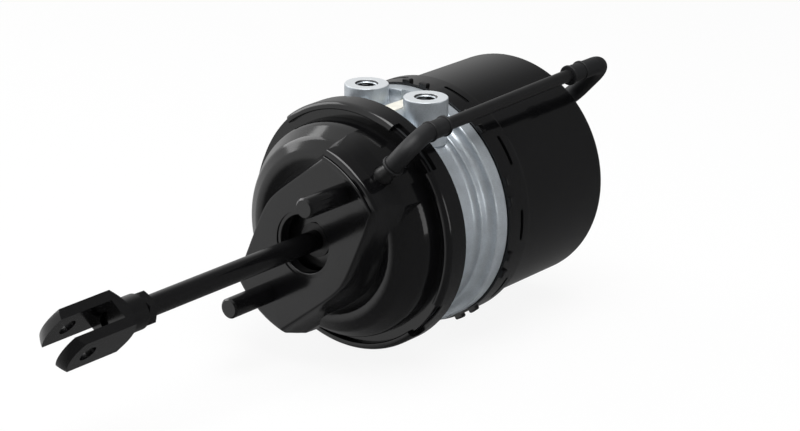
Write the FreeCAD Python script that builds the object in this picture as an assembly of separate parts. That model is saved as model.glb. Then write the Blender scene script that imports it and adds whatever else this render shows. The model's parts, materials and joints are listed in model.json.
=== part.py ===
import FreeCAD, Part
import os
from math import cos, hypot, pi, radians, sin, sqrt

# Spring brake chamber of the two-stud kind: a service chamber with a push rod and fork in front,
# a cast body with two air ports in the middle and a parking spring chamber behind.
# Millimetres. The origin is the centre of the mounting pad's face, on the push rod's axis.
# The rod points to -Y, the chamber lies towards +Y and the ports open upwards, to +Z.

# Mounting pad and studs
STUD_SPACING = 120.65      # between the two studs' axes
STUD_ANGLE = 52.4          # turn of the stud line from +X towards +Z, degrees
STUD_R = 8.0               # M16 x 1.5
STUD_REACH = 44.2          # out of the pad
STUD_CHAMFER = 1.4
STUD_SEAT_R = 8.6          # knurl pressed into the pad
STUD_HEAD_R = 9.4
STUD_HEAD_T = 3.4
PAD_HALF = 45.0            # half width of the pad across the stud line, at its middle
PAD_TAPER = 0.27           # how fast the pad narrows towards the studs
PAD_BARREL = 12.0          # softness of the pad's waist
PAD_LENGTH = 100.0         # half length of the block that the crown cuts to shape
RIM_INNER_R = 74.0         # raised crescent beyond the upper stud
RIM_GROOVE_R = 78.6        # fine groove along its crest
RIM_GROOVE = 1.0
RIM_PROUD = 4.6
RIM_FALL = 1.2             # step down from the crest to the outer band
RIM_SPAN = 42.0            # degrees

# Service housing, a deep-drawn shell
SHELL_T = 4.0
PAD_T = 5.0
CROWN_R = 78.0             # at the pad's ends
FLANK_R = 84.0             # band round the pad's ends
FLANK_Y = 9.0
SKIRT_R = 86.5             # straight wall behind the shoulder
SHOULDER_Y = 26.0
DOME_Y = 21.0              # front of the lower dome beside the pad
DOME_CREST_R = 64.0
DOME_EDGE_R = 76.0         # where the dome's front turns into its side
DOME_EDGE_DROP = 7.0
DOME_SIDE_R = 85.0         # side of the dome, half way to the flange
DOME_SIDE_DROP = 21.0
DOME_VALLEY_R = 52.0
VALLEY_DEPTH = 6.5
HUB_HOLE_R = 26.5

# Clamp ring that holds the service housing on the body
CLAMP_T = 3.6
CLAMP_FRONT = 52.0
CLAMP_BACK = 73.4
CLAMP_LIP = 6.0            # front lip, inwards from the band
CLAMP_REAR_GAP = 0.4       # between the rear lip and the body's neck
CLAMP_WINDOWS = ((38.0, 65.0), (129.0, 196.0), (-50.0, -27.0))     # cut-outs, in degrees
CLAMP_WINDOW_Y = 62.0
FLANGE_T = 4.0             # rolled flange of the housing
FLANGE_WIDTH = 8.1         # outwards from the skirt
BEAD_T = 4.4               # diaphragm's clamped bead
FLANGE_GAP = 0.3

# Cast body between the two chambers
WAIST_R = 81.8
STEP_R = 86.8
STEP_Y = 108.0
NECK_STEP = 5.0            # from the flange down to the neck behind it
NECK_END = 77.0
WAIST_START = 88.0
BODY_LIP = 2.1             # outwards from the spigot
BODY_LIP_FRONT = 117.5
BODY_LIP_Y = 130.6         # where the parking spring housing begins
SPIGOT_WALL = 3.9
SPIGOT_END = 156.0
BOWL_R = 80.0              # service side bowl at the flange
BOWL_FLOOR = 104.0
FLOOR_T = 14.0             # wall between the chambers
HUB_R = 30.0
HUB_PROUD = 2.4            # hub round the push tube, in front of the bowl's floor
BORE_R = 22.0

# Air ports
PORT_XS = (-21.7, 35.9)
PORT_Y = 102.0
PORT_TOP = 99.9
PORT_BOSS_R = 17.3
PORT_R = 7.19              # M16 x 1.5, minor
PORT_MOUTH_R = 9.2
PORT_DEPTH = 15.0
PASSAGE_R = 3.5
PLATE_LENGTH = 34.0        # bare plate between the ports
PLATE_WIDTH = 13.0
PLATE_T = 1.2
PLATE_Z = 86.0
PLATE_ROOM = 12.0          # depth of the pocket over the plate
PLATE_GAP = 0.3

# Parking spring housing
CAN_R = 92.2
CAN_T = 3.2
CAN_END = 266.0
CAN_CORNER = 6.0
COLLAR_GAP = 0.7           # between the spigot and the collar
COLLAR_START = 131.2
COLLAR_END = 158.5
SLOTS = 10
SLOT_ANGLE = 70.8          # centre of the first slot
SLOT_Y = 147.0
SLOT_LENGTH = 25.0
SLOT_WIDTH = 3.4
TAB_OFFSET = 4.7           # half the angle between a pair of tabs
TAB_PROUD = 3.0
TAB_WIDTH = 7.0
TAB_LENGTH = 5.0
WIRE_R = 1.8               # lock wire behind the slots
WIRE_OUT = 0.15            # wire's centre, outwards from the spigot
WIRE_GAP = 0.1
O_RING_Y = 135.0
O_RING_W = 3.4
O_RING_DEPTH = 1.8

# Push rod, fork and nut
ROD_R = 8.0
ROD_TIP = -208.0
ROD_CHAMFER = 1.2
NUT_ACROSS = 24.0
NUT_T = 8.0
NUT_BACK = -174.8
NUT_TURN = 27.1            # degrees
FORK_SIZE = 32.0
FORK_GAP = 16.0
FORK_NECK_R = 13.4
FORK_NECK_GAP = 0.2        # between neck and lock nut
FORK_BLOCK_BACK = -207.2   # rear corners of the square block
FORK_NECK_START = -199.0   # small end of the turned cone behind the block
FORK_SLOT_END = -211.5
FORK_NOSE = -266.7         # crown of the domed nose
FORK_NOSE_R = 30.0
PIN_R = 7.0
PIN_Y = -245.4

# Rod guide inside the hub hole
COLLAR_RING_R = 23.0
COLLAR_RING_DEPTH = 9.0
CUP_DISC_Y = 15.0
CUP_T = 1.6
CUP_WALL_R = 29.0
CUP_FLANGE_R = 38.4
BUSH_R = 11.5
BUSH_LENGTH = 8.0
RUNNING = 0.05             # radial clearance of a running fit

# Push plate and springs
STROKE = 57.0
PLATE_R = 60.0
PUSH_PLATE_T = 3.6
PUSH_PLATE_Y = 94.6
RETURN_WIRE = 4.0
RETURN_FRONT_R = 34.5
RETURN_BACK_R = 50.0
RETURN_TURNS = 6
DIAPHRAGM_T = 3.0
POWER_WIRE = 12.0
POWER_R = 68.0
POWER_TURNS = 4.25
COIL_CORNERS = 12          # runs in each turn of a spring
COIL_SOFTNESS = 0.9        # bend between two runs, as a share of the coil's radius

# Parking piston and its push tube
PISTON_FRONT = 180.0
PISTON_BACK = 222.0
PISTON_GAP = 0.4
PISTON_WEB = 7.0
PISTON_WALL = 5.5
PISTON_HUB_R = 27.0
PISTON_HUB = 22.0
SEAL_Y = 213.0
SEAL_W = 5.0
GUIDE_Y = 198.0
GUIDE_W = 6.0
RING_DEPTH = 3.0
TUBE_R = 18.0
TUBE_BORE_R = 14.2
TUBE_FRONT = 104.0
TUBE_BACK = 241.0
TUBE_LIP_R = 9.0
TUBE_LIP = 4.0
STOPPER_T = 4.0
SEAT_T = 2.0

# Release bolt
BOLT_R = 8.0
BOLT_HEAD_ACROSS = 24.0
BOLT_HEAD_T = 12.0
BOLT_FRONT = 110.6
WASHER_R = 13.6
WASHER_T = 6.0
CLIP_T = 1.4
CLIP_R = 9.6
RELEASE_NUT_R = 15.0
RELEASE_NUT_OUT = 7.0
RELEASE_NUT_IN = 9.0

# Vent line
NIPPLE_ANGLE = 46.2
NIPPLE_Y = 21.0
NIPPLE_LENGTH = 19.0
NIPPLE_R = 4.4
NIPPLE_BASE_R = 7.6
VENT_R = 5.0
VENT_WALL = 1.2
VENT_FRONT = (116.5, 50.7, 64.0)     # radius, angle and y of the tube's front end
VENT_BACK = (117.5, 52.4, 252.0)
HOSE_R = 7.2
HOSE_BEAD = 0.9
HOSE_OVERLAP = 12.0
FRONT_BEND = 17.0
BACK_NIPPLE_R = 62.0
BACK_NIPPLE_ANGLE = 57.5
BACK_TURN_Y = 294.8
BACK_BEND = 20.0

PAD_INNER = PAD_T
FLANGE_FRONT = CLAMP_FRONT + CLAMP_T + 0.1
BEAD_FRONT = FLANGE_FRONT + FLANGE_T
BODY_FRONT = BEAD_FRONT + BEAD_T
BODY_FLANGE_BACK = CLAMP_BACK - CLAMP_T - 0.1
FLANGE_R = SKIRT_R + FLANGE_WIDTH
CLAMP_R = FLANGE_R + FLANGE_GAP + CLAMP_T
NECK_R = FLANGE_R - NECK_STEP
CAN_BORE_R = CAN_R - CAN_T
SPIGOT_R = CAN_BORE_R + SPIGOT_WALL
BODY_LIP_R = SPIGOT_R + BODY_LIP
COLLAR_BORE_R = SPIGOT_R + COLLAR_GAP
COLLAR_R = COLLAR_BORE_R + CAN_T
WIRE_RING_R = SPIGOT_R + WIRE_OUT
FLOOR_BACK = BOWL_FLOOR + FLOOR_T
AXIS = FreeCAD.Vector(0, 1, 0)
CENTRE = FreeCAD.Vector(0, 0, 0)
parts = {}


def vec(x, y, z):
    return FreeCAD.Vector(x, y, z)


def polar(radius, angle, y):
    """Point at a radius and an angle in degrees from +X towards +Z."""
    return vec(radius * cos(radians(angle)), y, radius * sin(radians(angle)))


def turned(shape, angle):
    """Copy of a shape turned about the chamber's axis, from +X towards +Z."""
    copy = shape.copy()
    copy.rotate(CENTRE, AXIS, -angle)
    return copy


def outline(points, place):
    """Closed wire through (a, b, corner radius) points, with round corners."""
    edges = []
    ends = []
    count = len(points)
    for i, (a, b, radius) in enumerate(points):
        corner = place(a, b)
        if not radius:
            ends.append((corner, corner))
            continue
        before = place(*points[i - 1][:2]) - corner
        after = place(*points[(i + 1) % count][:2]) - corner
        half = before.getAngle(after) / 2
        before.normalize()
        after.normalize()
        cut = radius * cos(half) / sin(half)
        middle = before + after
        middle.normalize()
        start = corner + before * cut
        end = corner + after * cut
        top = corner + middle * (radius / sin(half) - radius)
        edges.append(Part.Arc(start, top, end).toShape())
        ends.append((start, end))
    for i in range(count):
        start = ends[i][1]
        end = ends[(i + 1) % count][0]
        if (end - start).Length > 1e-6:
            edges.append(Part.LineSegment(start, end).toShape())
    return Part.Wire(Part.__sortEdges__(edges))


def revolve(points):
    """Solid of revolution about the chamber's axis from (radius, y) or (radius, y, corner)."""
    full = [tuple(p) + (0,) * (3 - len(p)) for p in points]
    wire = outline(full, lambda r, y: vec(r, y, 0))
    return Part.Face(wire).revolve(CENTRE, AXIS, 360)


def ring(inner, outer, start, end):
    return revolve([(inner, start), (outer, start), (outer, end), (inner, end)])


def disc(radius, start, end):
    return Part.makeCylinder(radius, end - start, vec(0, start, 0), AXIS)


def rod(radius, start, end):
    """Cylinder between two points."""
    return Part.makeCylinder(radius, (end - start).Length, start, end - start)


def sector(radius, first, last, start, length):
    """Wedge between two angles about the chamber's axis."""
    wedge = Part.makeCylinder(radius, length, CENTRE, vec(0, 0, 1), last - first)
    wedge.rotate(CENTRE, vec(1, 0, 0), 90)
    wedge.translate(vec(0, start + length, 0))
    return turned(wedge, first)


def hexagon(across, start, end):
    """Hexagonal bar along the chamber's axis, flats up and down."""
    corner = across / sqrt(3)
    points = [polar(corner, 60 * i, start) for i in range(7)]
    bar = Part.Face(Part.makePolygon(points)).extrude(vec(0, end - start, 0))
    edge = 0.6 * (corner - across / 2)
    low = min(start, end)
    high = max(start, end)
    cap = revolve([(0, low), (corner - 2 * edge, low), (corner, low + edge), (corner, high - edge),
                   (corner - 2 * edge, high), (0, high)])
    return bar.common(cap)


def spring(wire, front, back, front_r, back_r, turns):
    """Round-wire spring between two seats, straight or conical, as short runs joined by arcs."""
    height = back - front - wire
    steps = round(turns * COIL_CORNERS)
    points = []
    radii = []
    for i in range(steps + 1):
        share = i / steps
        radius = front_r + (back_r - front_r) * share
        y = front + wire / 2 + height * share
        points.append(polar(radius / cos(pi / COIL_CORNERS), 360 * turns * share, y))
        radii.append(COIL_SOFTNESS * radius)
    return sweep(path_wire(points, radii[1:-1]), wire / 2)


# Service housing

def pad_half(s):
    return PAD_HALF - PAD_TAPER * (hypot(s, PAD_BARREL) - PAD_BARREL)


def pad_block(inset, front):
    """Block under the pad: barrel outline, soft top edge and walls that flare into the dome."""
    flare = [(0.0, -2.4, 0.0), (0.7, -0.8, 0.0), (2.4, 0.0, 0.4), (10.0, 1.2, 1.5), (15.0, 2.2, 2.5),
             (19.0, 3.4, 3.0), (23.0, 5.6, 2.0), (27.0, 9.0, 0.0), (BEAD_FRONT + 4, 11.0, 0.0)]
    stations = [PAD_LENGTH * (i / 6 - 1) for i in range(13)]
    wires = []
    for depth, grow, end_grow in flare:
        side = []
        for s in stations:
            wide = pad_half(s) + grow + end_grow * (s / FLANK_R) ** 2 - inset
            side.append(vec(s, front + depth, -wide))
        curve = Part.BSplineCurve()
        curve.interpolate(side)
        near = curve.toShape()
        far = near.mirror(CENTRE, vec(0, 0, 1))
        left = Part.LineSegment(side[0], vec(side[0].x, side[0].y, -side[0].z)).toShape()
        right = Part.LineSegment(side[-1], vec(side[-1].x, side[-1].y, -side[-1].z)).toShape()
        wires.append(Part.Wire(Part.__sortEdges__([near, right, far, left])))
    return Part.makeLoft(wires, True, True)


def shell_form(inset, front):
    """Outer or inner form of the service housing, without its flange."""
    skirt = SKIRT_R - inset
    crown = CROWN_R - inset
    flank = FLANK_R - inset
    dome = DOME_Y + inset
    valley = DOME_VALLEY_R
    end = BEAD_FRONT
    low = revolve([(0, dome + VALLEY_DEPTH), (valley, dome + VALLEY_DEPTH, 7), (DOME_CREST_R, dome, 10),
                   (DOME_EDGE_R - inset, dome + DOME_EDGE_DROP, 10), (DOME_SIDE_R - inset, dome + DOME_SIDE_DROP, 16),
                   (skirt, end), (0, end)])
    high = revolve([(0, front), (crown, front, 4), (flank, front + FLANK_Y, 6), (skirt, SHOULDER_Y, 8),
                    (skirt, end), (0, end)])
    block = turned(pad_block(inset, front), STUD_ANGLE)
    return low.fuse(block.common(high))


def stud_place(side, y):
    return polar(side * STUD_SPACING / 2, STUD_ANGLE, y)


def make_service_housing():
    outer = shell_form(0, 0)
    inner = shell_form(SHELL_T, PAD_INNER)
    flange = ring(SKIRT_R - SHELL_T, FLANGE_R, FLANGE_FRONT, BEAD_FRONT)
    shell = outer.cut(inner).fuse(flange)
    band = RIM_FALL - RIM_PROUD
    rim = revolve([(RIM_INNER_R, -RIM_PROUD, 1.8), (RIM_GROOVE_R, -RIM_PROUD, 1.4),
                   (RIM_GROOVE_R, band + RIM_GROOVE), (RIM_GROOVE_R + RIM_GROOVE, band + RIM_GROOVE),
                   (RIM_GROOVE_R + RIM_GROOVE, band), (FLANK_R, band, 3), (FLANK_R, FLANK_Y + 1),
                   (FLANK_R - SHELL_T, FLANK_Y + 1), (RIM_INNER_R, PAD_T / 2)])
    wedge = sector(CLAMP_R, STUD_ANGLE - RIM_SPAN / 2, STUD_ANGLE + RIM_SPAN / 2, -2 * RIM_PROUD, 2 * SHOULDER_Y)
    shell = shell.fuse(rim.common(wedge))
    shell = shell.cut(disc(HUB_HOLE_R, -1, 3 * PAD_T))
    for side in (-1, 1):
        shell = shell.cut(rod(STUD_SEAT_R, stud_place(side, -PAD_T), stud_place(side, 2 * PAD_T)))
    seat = nipple_points()[0]
    outside = polar(SKIRT_R + 2 * SHELL_T, NIPPLE_ANGLE, NIPPLE_Y)
    shell = shell.cut(rod(NIPPLE_R, polar(SKIRT_R - 3 * SHELL_T, NIPPLE_ANGLE, NIPPLE_Y), outside))
    shell = shell.cut(rod(NIPPLE_BASE_R + 0.3, seat, outside))
    return shell


def make_studs():
    studs = []
    for side in (-1, 1):
        shank = revolve([(0, -STUD_REACH), (STUD_R - STUD_CHAMFER, -STUD_REACH),
                         (STUD_R, STUD_CHAMFER - STUD_REACH), (STUD_R, 0), (STUD_SEAT_R, 0),
                         (STUD_SEAT_R, PAD_INNER), (STUD_HEAD_R, PAD_INNER), (STUD_HEAD_R, PAD_INNER + STUD_HEAD_T), (0, PAD_INNER + STUD_HEAD_T)])
        shank.translate(stud_place(side, 0))
        studs.append(shank)
    return Part.makeCompound(studs)


# Hub ring, spring cup and rod guide

def make_hub_ring():
    back = 1.0 + COLLAR_RING_DEPTH
    return revolve([(COLLAR_RING_R, 1.0, 0.8), (HUB_HOLE_R, 1.0), (HUB_HOLE_R, PAD_INNER),
                    (CUP_WALL_R - CUP_T - 0.2, PAD_INNER + CUP_T), (CUP_WALL_R - CUP_T - 0.2, back),
                    (COLLAR_RING_R, back)])


def make_spring_cup():
    seat = PAD_INNER
    deep = CUP_DISC_Y
    return revolve([(CUP_WALL_R - CUP_T, seat), (CUP_FLANGE_R, seat), (CUP_FLANGE_R, seat + CUP_T),
                    (CUP_WALL_R, seat + CUP_T, 0.8), (CUP_WALL_R, deep + CUP_T, 2.4),
                    (BUSH_R, deep + CUP_T), (BUSH_R, deep), (CUP_WALL_R - CUP_T, deep, 0.8)])


def make_rod_bush():
    return revolve([(ROD_R + RUNNING, CUP_DISC_Y - 1.4), (BUSH_R + 2, CUP_DISC_Y - 1.4),
                    (BUSH_R + 2, CUP_DISC_Y), (BUSH_R, CUP_DISC_Y), (BUSH_R, CUP_DISC_Y + BUSH_LENGTH),
                    (ROD_R + RUNNING, CUP_DISC_Y + BUSH_LENGTH)])


# Push rod group

def make_push_rod():
    return revolve([(0, ROD_TIP), (ROD_R - ROD_CHAMFER, ROD_TIP), (ROD_R, ROD_TIP + ROD_CHAMFER),
                    (ROD_R, PUSH_PLATE_Y), (0, PUSH_PLATE_Y)])


def make_push_plate():
    rear = PUSH_PLATE_Y + PUSH_PLATE_T
    seat = RETURN_BACK_R + RETURN_WIRE / 2 + 1
    return revolve([(0, PUSH_PLATE_Y), (ROD_R, PUSH_PLATE_Y), (seat, PUSH_PLATE_Y, 1),
                    (PLATE_R - 3, PUSH_PLATE_Y - 3, 1), (PLATE_R, PUSH_PLATE_Y - 1.5, 1),
                    (PLATE_R - 2, rear, 2), (0, rear)])


def make_return_spring():
    front = PAD_INNER + CUP_T
    return spring(RETURN_WIRE, front, PUSH_PLATE_Y, RETURN_FRONT_R, RETURN_BACK_R, RETURN_TURNS)


def make_lock_nut():
    nut = hexagon(NUT_ACROSS, NUT_BACK - NUT_T, NUT_BACK)
    return turned(nut, NUT_TURN).cut(disc(ROD_R, NUT_BACK - 2 * NUT_T, NUT_BACK + NUT_T))


def make_clevis():
    """Square fork with a domed nose, a slot, a cross hole and a round threaded neck."""
    half = FORK_SIZE / 2
    corner = hypot(half, half)
    neck_back = NUT_BACK - NUT_T - FORK_NECK_GAP
    block = Part.makeBox(FORK_SIZE, FORK_NECK_START - FORK_NOSE, FORK_SIZE, vec(-half, FORK_NOSE, -half))
    dome_y = FORK_NOSE + FORK_NOSE_R
    dome = Part.makeSphere(FORK_NOSE_R, vec(0, dome_y, 0)).fuse(disc(FORK_NOSE_R, dome_y, FORK_NECK_START))
    cone = revolve([(0, FORK_NOSE), (corner, FORK_NOSE), (corner, FORK_BLOCK_BACK),
                    (FORK_NECK_R, FORK_NECK_START), (0, FORK_NECK_START)])
    block = block.common(dome).common(cone)
    neck = revolve([(0, FORK_SLOT_END), (FORK_NECK_R, FORK_SLOT_END), (FORK_NECK_R, neck_back, 1.4),
                    (0, neck_back)])
    fork = block.fuse(neck)
    gap = Part.makeBox(FORK_SIZE, FORK_SLOT_END - FORK_NOSE + 1, FORK_GAP,
                       vec(-half, FORK_NOSE - 1, -FORK_GAP / 2))
    fork = fork.cut(gap)
    fork = fork.cut(Part.makeCylinder(PIN_R, FORK_SIZE, vec(0, PIN_Y, -half), vec(0, 0, 1)))
    fork = fork.cut(disc(ROD_R, FORK_SLOT_END - 1, neck_back + 1))
    return turned(fork.removeSplitter(), STUD_ANGLE)


# Clamp ring and diaphragm

def make_clamp_ring():
    front_lip = CLAMP_R - CLAMP_LIP
    rear_lip = NECK_R + CLAMP_REAR_GAP
    bore = CLAMP_R - CLAMP_T
    ring_shape = revolve([(front_lip, CLAMP_FRONT, 1.2), (CLAMP_R, CLAMP_FRONT, 4.6), (CLAMP_R, CLAMP_BACK, 1.2),
                          (rear_lip, CLAMP_BACK), (rear_lip, CLAMP_BACK - CLAMP_T), (bore, CLAMP_BACK - CLAMP_T),
                          (bore, CLAMP_FRONT + CLAMP_T), (front_lip, CLAMP_FRONT + CLAMP_T)])
    depth = CLAMP_WINDOW_Y - CLAMP_FRONT + 1
    for start, end in CLAMP_WINDOWS:
        window = sector(1.5 * CLAMP_R, start, end, CLAMP_FRONT - 1, depth)
        ring_shape = ring_shape.cut(window)
    return ring_shape


def make_diaphragm():
    back = PUSH_PLATE_Y + PUSH_PLATE_T
    t = DIAPHRAGM_T
    inner = BOWL_R - t - 1.5
    return revolve([(0, back), (PLATE_R + 2, back, 3), (inner, BEAD_FRONT + 6, 6), (inner + 2, BEAD_FRONT),
                    (FLANGE_R, BEAD_FRONT), (FLANGE_R, BODY_FRONT), (inner + t, BODY_FRONT),
                    (PLATE_R + 2 + t, back + t, 3), (0, back + t)])


# Cast body

def make_body():
    """Casting turned outside, with the port bosses added before its two hollows are cut."""
    hub_front = BOWL_FLOOR - HUB_PROUD
    wire_front = SLOT_Y - WIRE_R - WIRE_GAP
    wire_back = SLOT_Y + WIRE_R + WIRE_GAP
    wire_bed = WIRE_RING_R - WIRE_R - WIRE_GAP
    ring_bed = SPIGOT_R - O_RING_DEPTH
    body = revolve([(0, BODY_FRONT), (FLANGE_R, BODY_FRONT), (FLANGE_R, BODY_FLANGE_BACK),
                    (NECK_R, BODY_FLANGE_BACK), (NECK_R, NECK_END, 1.5), (WAIST_R, WAIST_START, 12), (WAIST_R, STEP_Y, 4.4),
                    (STEP_R, STEP_Y, 1.8), (STEP_R, BODY_LIP_FRONT, 5), (BODY_LIP_R, BODY_LIP_FRONT, 1.6),
                    (BODY_LIP_R, BODY_LIP_Y, 0.8), (SPIGOT_R, BODY_LIP_Y), (SPIGOT_R, O_RING_Y),
                    (ring_bed, O_RING_Y), (ring_bed, O_RING_Y + O_RING_W), (SPIGOT_R, O_RING_Y + O_RING_W),
                    (SPIGOT_R, wire_front), (wire_bed, wire_front), (wire_bed, wire_back),
                    (SPIGOT_R, wire_back), (SPIGOT_R, SPIGOT_END, 0.8), (0, SPIGOT_END)])
    foot = WAIST_R - PORT_BOSS_R
    for x in PORT_XS:
        boss = Part.makeCylinder(PORT_BOSS_R, PORT_TOP - foot, vec(x, PORT_Y, foot), vec(0, 0, 1))
        boss = boss.makeFillet(1.0, [e for e in boss.Edges if e.BoundBox.ZMin > PORT_TOP - 1])
        body = body.fuse(boss)
    depth = 2 * PORT_BOSS_R - 8
    web = Part.makeBox(PORT_XS[1] - PORT_XS[0], depth, PLATE_Z - foot, vec(PORT_XS[0], PORT_Y - depth / 2, foot))
    body = body.fuse(web)
    body = body.cut(plate_block(PLATE_GAP, PLATE_Z + PLATE_ROOM))
    body = body.cut(revolve([(0, hub_front), (HUB_R, hub_front, 2), (HUB_R + 3, BOWL_FLOOR, 2),
                             (PLATE_R + 6, BOWL_FLOOR, 8), (BOWL_R, BODY_FRONT), (0, BODY_FRONT)]))
    body = body.cut(revolve([(0, FLOOR_BACK + 1), (HUB_R, FLOOR_BACK + 1), (HUB_R, FLOOR_BACK),
                             (CAN_BORE_R, FLOOR_BACK, 5), (CAN_BORE_R, SPIGOT_END), (0, SPIGOT_END)]))
    body = body.cut(disc(BORE_R, hub_front, FLOOR_BACK + 1))
    for i, x in enumerate(PORT_XS):
        top = vec(x, PORT_Y, PORT_TOP)
        base = top - vec(0, 0, PORT_DEPTH)
        body = body.cut(rod(PORT_R, top, base))
        body = body.cut(Part.makeCone(PORT_MOUTH_R, PORT_R, PORT_MOUTH_R - PORT_R, top, vec(0, 0, -1)))
        if i:
            turn = vec(x, PORT_Y, 0.8 * CAN_BORE_R)
            body = body.cut(rod(PASSAGE_R, base, turn))
            body = body.cut(rod(PASSAGE_R, turn, vec(x, FLOOR_BACK + 8, turn.z)))
        else:
            bend = BOWL_FLOOR - PASSAGE_R - 2
            body = body.cut(rod(PASSAGE_R, vec(x, bend, base.z + 1), vec(x, bend, PLATE_R / 2)))
    return body


def make_bore_bush():
    return ring(TUBE_R + RUNNING, BORE_R, BOWL_FLOOR + 2, FLOOR_BACK - 4)


def make_bore_seals():
    front = ring(TUBE_R + RUNNING, BORE_R, BOWL_FLOOR - HUB_PROUD, BOWL_FLOOR + 2)
    back = ring(TUBE_R + RUNNING, BORE_R, FLOOR_BACK - 4, FLOOR_BACK + 1)
    return Part.makeCompound([front, back])


def make_flange_o_ring():
    return ring(SPIGOT_R - O_RING_DEPTH, COLLAR_BORE_R, O_RING_Y + 0.2, O_RING_Y + O_RING_W - 0.2)


def make_lock_wire():
    return Part.makeTorus(WIRE_RING_R, WIRE_R, vec(0, SLOT_Y, 0), AXIS)


def plate_block(gap, top):
    """Upright block over the bare plate's outline, made wider all round by a gap."""
    x = sum(PORT_XS) / 2
    corner = vec(x - PLATE_WIDTH / 2 - gap, PORT_Y - PLATE_LENGTH / 2 - gap, PLATE_Z)
    return Part.makeBox(PLATE_WIDTH + 2 * gap, PLATE_LENGTH + 2 * gap, top - PLATE_Z, corner)


# Parking spring housing

def make_rear_housing():
    t = CAN_T
    collar_bore = COLLAR_BORE_R
    can = revolve([(collar_bore, COLLAR_START), (COLLAR_R, COLLAR_START), (COLLAR_R, COLLAR_END - 1, 2.5),
                   (CAN_R, COLLAR_END + 1.5, 2.5), (CAN_R, CAN_END, CAN_CORNER), (RELEASE_NUT_R, CAN_END),
                   (RELEASE_NUT_R, CAN_END - t), (CAN_R - t, CAN_END - t, CAN_CORNER - t),
                   (CAN_R - t, COLLAR_END + 0.3, 1), (collar_bore, COLLAR_END - 1.8, 1)])
    for i in range(SLOTS):
        slot = Part.makeBox(4 * t, SLOT_WIDTH, SLOT_LENGTH,
                            vec(COLLAR_R - 2.6 * t, SLOT_Y - SLOT_WIDTH / 2, -SLOT_LENGTH / 2))
        along = [e for e in slot.Edges if abs(e.BoundBox.XLength - 4 * t) < 0.1]
        slot = slot.makeFillet(0.49 * SLOT_WIDTH, along)
        can = can.cut(turned(slot, SLOT_ANGLE + 360 / SLOTS * i))
    for i in range(SLOTS):
        for side in (-1, 1):
            tab = Part.makeBox(t + TAB_PROUD - 0.6, TAB_LENGTH, TAB_WIDTH,
                               vec(collar_bore + 0.6, COLLAR_START, -TAB_WIDTH / 2))
            outer = [e for e in tab.Edges if e.BoundBox.XMin > collar_bore + t]
            tab = tab.makeFillet(1.4, outer)
            can = can.fuse(turned(tab, SLOT_ANGLE + 360 / SLOTS * (i + 0.5) + side * TAB_OFFSET))
    can = can.cut(ring(collar_bore - 1, WIRE_RING_R + WIRE_R + WIRE_GAP, SLOT_Y - WIRE_R - WIRE_GAP,
                       SLOT_Y + WIRE_R + WIRE_GAP))
    can = can.cut(rod(NIPPLE_R, polar(BACK_NIPPLE_R, BACK_NIPPLE_ANGLE, CAN_END - 2 * t),
                      polar(BACK_NIPPLE_R, BACK_NIPPLE_ANGLE, CAN_END + t)))
    return can.removeSplitter()


def make_piston():
    r = CAN_BORE_R - PISTON_GAP
    web_back = PISTON_FRONT + PISTON_WEB
    inner = r - PISTON_WALL
    piston = revolve([(TUBE_R, PISTON_FRONT), (inner - 6, PISTON_FRONT, 4), (r, PISTON_FRONT + 8, 3),
                      (r, PISTON_BACK, 0.8), (inner, PISTON_BACK, 0.8), (inner, web_back, 3),
                      (PISTON_HUB_R, web_back, 3), (PISTON_HUB_R, PISTON_FRONT + PISTON_HUB, 1),
                      (TUBE_R, PISTON_FRONT + PISTON_HUB)])
    for y, width in ((SEAL_Y, SEAL_W), (GUIDE_Y, GUIDE_W)):
        piston = piston.cut(ring(r - RING_DEPTH, r + 1, y, y + width))
    return piston


def make_piston_ring(y, width):
    r = CAN_BORE_R - PISTON_GAP
    return ring(r - RING_DEPTH, CAN_BORE_R - RUNNING, y, y + width)


def make_push_tube():
    return revolve([(TUBE_BORE_R, TUBE_FRONT), (TUBE_R, TUBE_FRONT), (TUBE_R, TUBE_BACK),
                    (TUBE_LIP_R, TUBE_BACK), (TUBE_LIP_R, TUBE_BACK - TUBE_LIP), (TUBE_BORE_R, TUBE_BACK - TUBE_LIP)])


def make_tube_stopper():
    nose = PUSH_PLATE_Y + PUSH_PLATE_T + DIAPHRAGM_T + 0.3
    return revolve([(0, nose), (TUBE_R - 1, nose, 1), (TUBE_R - 1, TUBE_FRONT), (TUBE_BORE_R, TUBE_FRONT),
                    (TUBE_BORE_R, TUBE_FRONT + STOPPER_T), (0, TUBE_FRONT + STOPPER_T)])


def make_power_spring():
    return spring(POWER_WIRE, PISTON_FRONT + PISTON_WEB, CAN_END - CAN_T - SEAT_T, POWER_R, POWER_R, POWER_TURNS)


def make_spring_seat():
    end = CAN_END - CAN_T
    inner = POWER_R - POWER_WIRE / 2 - 3
    seat = revolve([(inner, end), (inner, end - 8, 1), (inner + 2, end - 8, 1), (inner + 2, end - SEAT_T, 1),
                    (POWER_R + POWER_WIRE / 2, end - SEAT_T), (POWER_R + POWER_WIRE / 2, end)])
    vent = polar(BACK_NIPPLE_R, BACK_NIPPLE_ANGLE, end)
    return seat.cut(rod(NIPPLE_R, vent - AXIS * 10, vent))


# Release bolt

def make_release_bolt():
    back = CAN_END + RELEASE_NUT_OUT
    shank = revolve([(0, BOLT_FRONT), (BOLT_R - 3, BOLT_FRONT), (BOLT_R - 3, BOLT_FRONT + CLIP_T + WASHER_T + 0.5),
                     (BOLT_R, BOLT_FRONT + CLIP_T + WASHER_T + 0.5), (BOLT_R, back + 1), (0, back + 1)])
    head = hexagon(BOLT_HEAD_ACROSS, back + 0.3, back + 0.3 + BOLT_HEAD_T)
    return shank.fuse(head)


def make_bolt_clip():
    return ring(BOLT_R - 3, CLIP_R, BOLT_FRONT + 0.2, BOLT_FRONT + 0.2 + CLIP_T)


def make_thrust_washer():
    front = BOLT_FRONT + CLIP_T + 0.3
    return ring(BOLT_R - 3 + RUNNING, WASHER_R, front, front + WASHER_T)


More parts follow.
